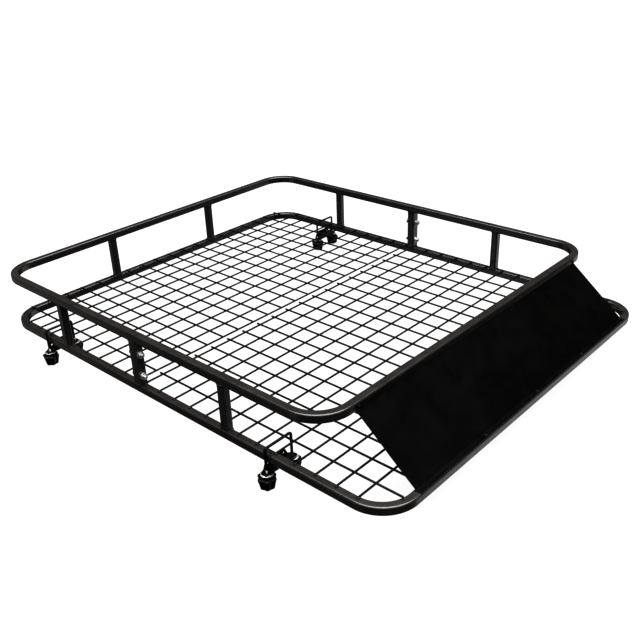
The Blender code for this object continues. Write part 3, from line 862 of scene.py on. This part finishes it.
def prism(outline, sweep):
    """A shape with this outline of (x, y, z) points, extruded by sweep."""
    shape = Shape()
    near = [Vector(point) for point in outline]
    shape.loft([near, [point + Vector(sweep) for point in near]])
    return shape


def channel_mesh(size):
    """The pressed channel round the middle of its foot: flanges up that slope down to the web
    before each leg, a web that ends in narrower tongues, and its holes.
    """
    half = size.y / 2
    across = size.x / 2
    corners = [(-across, size.z), (-across, 0), (across, 0), (across, size.z)]
    outer = rounded_path([Vector((x, 0, z)) for x, z in corners], CHANNEL_BEND_OUTER)
    inner_corners = [(-across + CHANNEL_SHEET, size.z), (-across + CHANNEL_SHEET, CHANNEL_SHEET),
                     (across - CHANNEL_SHEET, CHANNEL_SHEET), (across - CHANNEL_SHEET, size.z)]
    inner = rounded_path([Vector((x, 0, z)) for x, z in inner_corners], CHANNEL_BEND_INNER)
    shape = Shape()
    ends = [Vector((0, -half + n * size.y / CHANNEL_STRETCHES, 0)) for n in range(CHANNEL_STRETCHES + 1)]
    rings = [[place + point for point in outer + inner[::-1]] for place in ends]
    start, ring = len(shape.points), len(rings[0])
    for points in rings:
        shape.points.extend(points)
    for n in range(len(rings) - 1):
        a, b = start + n * ring, start + (n + 1) * ring
        for j in range(ring):
            k = (j + 1) % ring
            shape.faces.append((a + j, a + k, b + k, b + j))
    last = start + (len(rings) - 1) * ring
    for base in (start, last):
        for j in range(len(outer) - 1):
            shape.faces.append((base + j, base + j + 1, base + ring - 2 - j, base + ring - 1 - j))
    mesh = shape.mesh("clamp_channel")
    cutters = []
    for sign in (-1, 1):
        leg = Shape()
        foot, head = (Vector((0, sign * LEG_OFFSET, z)) for z in LEG_CUT)
        leg.rod(foot, head, LEG_HOLE_RADIUS, 28, 0.0)
        side = Shape()
        side_place = Vector((0, sign * (half - SIDE_HOLE_INSET), size.z / 2))
        reach = Vector((SIDE_CUT, 0, 0))
        side.rod(side_place - reach, side_place + reach, SIDE_HOLE_RADIUS, 24, 0.0)
        cutters += [leg, side]
        top = 2 * size.z
        slant = (CHANNEL_TAPER_END - CHANNEL_TAPER_START) / (size.z - CHANNEL_END_HEIGHT)
        flank = [
            (CHANNEL_TAPER_START - slant * (top - size.z), top), (CHANNEL_TAPER_END, CHANNEL_END_HEIGHT),
            (size.y, CHANNEL_END_HEIGHT), (size.y, top),
        ]
        cutters.append(prism([(-size.x, sign * y, z) for y, z in flank], (2 * size.x, 0, 0)))
        slant = (across - CHANNEL_TONGUE / 2) / (half - CHANNEL_TONGUE_START)
        beside = [(CHANNEL_TONGUE / 2 - slant * half, size.y), (size.x, size.y),
                  (size.x, half - (size.x - CHANNEL_TONGUE / 2) / slant)]
        for flip in (-1, 1):
            cutters.append(prism([(flip * x, sign * y, -size.z) for x, y in beside], (0, 0, 3 * size.z)))
    return cut_mesh(mesh, cutters)


def knob_meshes():
    """The moulded knob and its zinc collar, standing on z = 0."""
    low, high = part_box("knob_right_front_outer")
    top_radius = (high.x - low.x) / 2 / (1 + KNOB_LOBE_DEPTH)
    bottom_radius = top_radius * KNOB_TAPER
    rim, foot = KNOB_RIM, KNOB_FOOT
    # Each point is a radius, a height and how much of the lobes' depth it has
    profile = [(0.0030, 0.0022, 0.0), (0.0062, 0.0018, 0.0), (0.0074, 0.0, 0.0)]
    for step in range(6):
        angle = step / 5 * math.pi / 2
        profile.append((bottom_radius - foot + foot * math.sin(angle), foot - foot * math.cos(angle), 0.8))
    profile.append((bottom_radius + (top_radius - bottom_radius) * 0.45, KNOB_TOP * 0.5, 1.0))
    for step in range(7):
        angle = step / 6 * math.pi / 2
        radius = top_radius - rim + rim * math.cos(angle)
        profile.append((radius, KNOB_TOP - rim + rim * math.sin(angle), 1.0))
    profile += [
        (top_radius * 0.72, KNOB_TOP - 0.0003, 0.7),
        (top_radius * 0.55, KNOB_TOP - 0.0012, 0.2),
        (COLLAR_RADIUS + 0.0012, KNOB_TOP - 0.0014, 0.0),
        (COLLAR_RADIUS + 0.0006, KNOB_TOP + 0.0002, 0.0),
        (COLLAR_RADIUS - 0.0004, KNOB_TOP + 0.0004, 0.0),
    ]
    shape = Shape()
    rings = []
    for radius, z, lobed in profile:
        ring = []
        for n in range(KNOB_STEPS):
            angle = 2 * math.pi * n / KNOB_STEPS
            r = radius * (1 + (lobes(angle) - 1) * lobed)
            ring.append(Vector((r * math.cos(angle), r * math.sin(angle), z)))
        rings.append(ring)
    shape.loft(rings)
    collar_top = high.z
    low_z = KNOB_TOP - 0.001
    profile = [
        (COLLAR_HOLE, low_z), (COLLAR_RADIUS, low_z), (COLLAR_RADIUS, collar_top - 0.0024),
        (COLLAR_RADIUS - 0.0006, collar_top - 0.0020), (COLLAR_RADIUS - 0.0006, collar_top - 0.0014),
        (COLLAR_RADIUS, collar_top - 0.0010), (COLLAR_RADIUS, collar_top - 0.0004),
        (COLLAR_RADIUS - 0.0005, collar_top), (COLLAR_HOLE + 0.0005, collar_top),
        (COLLAR_HOLE, collar_top - 0.0005),
    ]
    collar = turned(profile, ROUND_STEPS, hole=True).mesh("knob_collar")
    return shape.mesh("knob", 50), collar


def build_clamps():
    knob, collar = knob_meshes()
    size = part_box("clamp_channel_right_front")[1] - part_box("clamp_channel_right_front")[0]
    channel = channel_mesh(size)
    low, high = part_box("clamp_washer_right_front_outer")
    disc = washer((high.x - low.x) / 2, LEG_HOLE_RADIUS, high.z - low.z)
    disc.name = "clamp_washer"
    for corner in CORNERS:
        node = f"u_bolt_{corner}"
        rod, threads = u_bolt_pieces(node)
        body = f"u_bolt_body_{corner}"
        add_piece(f"{node}_rod", rod.mesh(node), ROD_COAT, body, [node])
        add_piece(f"{node}_threads", threads.mesh(node + "_threads"), ZINC, body)
        node = f"clamp_channel_{corner}"
        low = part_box(node)[0]
        centre = middle(node)
        body = f"channel_body_{corner}"
        piece = add_piece(f"{node}_pressed", channel, SHEET_COAT, body, [node],
                          (centre.x, centre.y, low.z))
        flat_faces(piece)
        for leg in LEGS:
            node = f"clamp_washer_{corner}_{leg}"
            centre = middle(node)
            place = (centre.x, centre.y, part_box(node)[0].z)
            add_piece(f"{node}_disc", disc, ZINC, body, [node], place)
            node = f"knob_{corner}_{leg}"
            centre = middle(node)
            place = (centre.x, centre.y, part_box(node)[0].z)
            knob_body = f"knob_body_{corner}_{leg}"
            turn = (0, 0, chance.uniform(0, math.pi / 3))
            add_piece(f"{node}_moulded", knob, PLASTIC, knob_body, [node], place, turn)
            add_piece(f"{node}_collar", collar, ZINC, knob_body, (), place)


# Stage, light and camera


def build_stage():
    """A plain, nearly white floor that lights nothing and is not mirrored."""
    floor = Shape()
    floor.points = [Vector((x * FLOOR_SIZE, y * FLOOR_SIZE, 0)) for x, y in SQUARE]
    floor.faces = [(0, 1, 2, 3)]
    mesh = floor.mesh("studio_floor")
    if mesh.polygons[0].normal.z < 0:
        mesh.flip_normals()
    finish = Finish("studio_floor")
    tone = finish.between(finish.noise(2, 2), 0.3, 0.7, 0, 1)
    finish.set(Base_Color=finish.blend(tone, (0.10, 0.10, 0.10), (0.12, 0.12, 0.12)))
    finish.shader.inputs["Roughness"].default_value = 0.9
    finish.shader.inputs["Specular IOR Level"].default_value = 0.0
    finish.shader.inputs["Emission Color"].default_value = (1, 1, 1, 1)
    finish.shader.inputs["Emission Strength"].default_value = FLOOR_GLOW
    mesh.materials.append(finish.material)
    plane = bpy.data.objects.new("studio_floor", mesh)
    plane.location.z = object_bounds()[0].z - FLOOR_DROP
    bpy.context.scene.collection.objects.link(plane)
    plane.visible_glossy = False
    plane.visible_diffuse = False
    plane.visible_shadow = False


def build_light():
    """White behind the basket, and for all else a dim room with a few broad soft lights."""
    world = bpy.data.worlds.new("studio")
    bpy.context.scene.world = world
    world.use_nodes = True
    tree = world.node_tree
    nodes, links = tree.nodes, tree.links
    background = nodes["Background"]
    direction = nodes.new("ShaderNodeTexCoord").outputs["Generated"]
    total = None
    for toward, half_width, edge, brightness in STUDIO_LIGHTS:
        facing = nodes.new("ShaderNodeVectorMath")
        facing.operation = "DOT_PRODUCT"
        facing.inputs[1].default_value = Vector(toward).normalized()
        links.new(direction, facing.inputs[0])
        glow = nodes.new("ShaderNodeMapRange")
        glow.interpolation_type = "SMOOTHSTEP"
        glow.inputs["From Min"].default_value = math.cos(math.radians(half_width + edge))
        glow.inputs["From Max"].default_value = math.cos(math.radians(half_width))
        glow.inputs["To Max"].default_value = brightness
        links.new(facing.outputs["Value"], glow.inputs["Value"])
        add = nodes.new("ShaderNodeMath")
        add.operation = "ADD"
        add.inputs[1].default_value = BASE_LIGHT
        links.new(glow.outputs["Result"], add.inputs[0])
        if total:
            links.new(total, add.inputs[1])
        total = add.outputs["Value"]
    seen = nodes.new("ShaderNodeLightPath").outputs["Is Camera Ray"]
    choose = nodes.new("ShaderNodeMix")
    choose.data_type = "FLOAT"
    choose.inputs[3].default_value = 1.0
    links.new(seen, choose.inputs[0])
    links.new(total, choose.inputs[2])
    links.new(choose.outputs[0], background.inputs["Strength"])
    background.inputs["Color"].default_value = (1, 1, 1, 1)
    bpy.context.scene.view_settings.view_transform = "Standard"
    bpy.context.scene.view_settings.gamma = DEEP_BLACKS


def build_camera():
    flat = math.cos(CAMERA_ELEVATION)
    back = Vector((
        math.sin(CAMERA_AZIMUTH) * flat, -math.cos(CAMERA_AZIMUTH) * flat, math.sin(CAMERA_ELEVATION)
    ))
    level = UP.cross(back).normalized()
    upright = back.cross(level)
    right = level * math.cos(CAMERA_ROLL) + upright * math.sin(CAMERA_ROLL)
    up = upright * math.cos(CAMERA_ROLL) - level * math.sin(CAMERA_ROLL)
    camera = bpy.data.objects.new("camera", bpy.data.cameras.new("camera"))
    camera.data.lens = CAMERA_LENS
    camera.data.sensor_width = CAMERA_SENSOR
    camera.data.clip_start = CAMERA_NEAR
    camera.data.clip_end = CAMERA_FAR
    camera.matrix_world = Matrix.Translation(CAMERA_TARGET + back * CAMERA_DISTANCE) @ Matrix(
        (right, up, back)
    ).transposed().to_4x4()
    bpy.context.scene.collection.objects.link(camera)
    bpy.context.scene.camera = camera


build_rails()
build_posts()
for panel in ("front", "rear"):
    build_floor_panel(panel)
build_fairing()
build_joint_fasteners()
build_fairing_screws()
build_clamps()
build_stage()
build_light()
build_camera()
